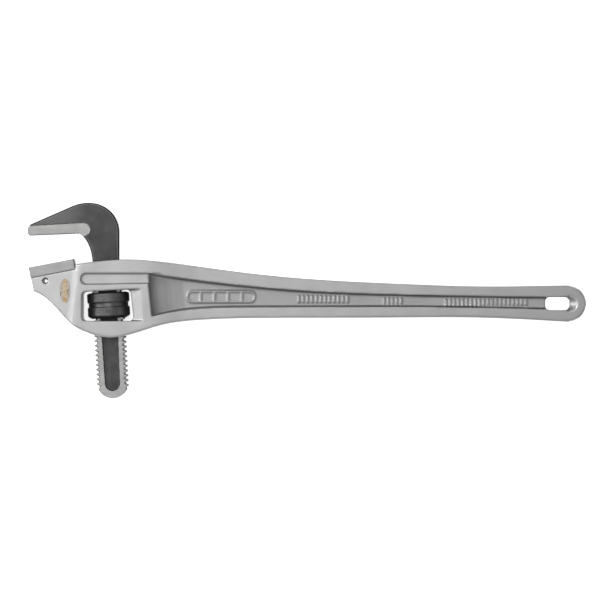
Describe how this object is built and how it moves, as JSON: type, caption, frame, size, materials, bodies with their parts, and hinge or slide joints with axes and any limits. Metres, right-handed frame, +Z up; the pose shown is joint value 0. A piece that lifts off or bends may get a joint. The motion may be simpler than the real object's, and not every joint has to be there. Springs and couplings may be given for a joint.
{
  "type": "pipe wrench",
  "caption": "Offset pipe wrench: aluminium I-beam handle with a side-facing housing, sliding steel hook jaw driven by a knurled nut, and a pinned heel jaw.",
  "frame": {"origin": "centre of the bounding box's bottom face, the surface the tool lies on", "axes": "+X along the handle towards its hanging hole, +Y along the hook shank towards the hook, +Z up through the thickness"},
  "size_m": [0.61, 0.2136, 0.0464],
  "materials": {
    "cast_aluminium": "bead-blasted satin casting",
    "forged_steel": "dark oxide forging, ground bare along teeth and shank",
    "black_nut": "black oxide, semi-gloss, knurled",
    "ground_steel": "ground, fine lengthwise striations",
    "pin_steel": "plain steel",
    "spring_steel": "blued spring steel",
    "label": "printed foil label"
  },
  "bodies": {
    "body": {"handle": "cast_aluminium", "heel_jaw": "ground_steel", "heel_jaw_pin": "pin_steel", "badge": "label", "coil_spring": "spring_steel"},
    "spring_carrier": {"flat_spring": "spring_steel", "spring_rivet": "pin_steel"},
    "hook": {"hook_jaw": "forged_steel"},
    "nut": {"adjusting_nut": "black_nut"}
  },
  "joints": [
    {"name": "jaw_rock", "type": "hinge", "parent": "body", "child": "spring_carrier", "pos_m": [-0.2168, -0.0046, 0.0232], "axis": [0, 0, 1], "range_deg": [-2.5, 0], "stiffness_Nm_per_rad": 25, "springref_deg": 2.06, "deforming": ["coil_spring", "flat_spring"]},
    {"name": "nut_spin", "type": "hinge", "parent": "spring_carrier", "child": "nut", "pos_m": [-0.2168, -0.0046, 0.0232], "axis": [0.0541, -0.9985, 0], "range_deg": [-1560, 3600]},
    {"name": "jaw_slide", "type": "slide", "parent": "spring_carrier", "child": "hook", "axis": [-0.0541, 0.9985, 0], "range_m": [-0.023, 0.0528]}
  ],
  "couplings": [
    {"joint": "jaw_slide", "follows": "nut_spin", "m_per_rad": 0.00083556}
  ]
}
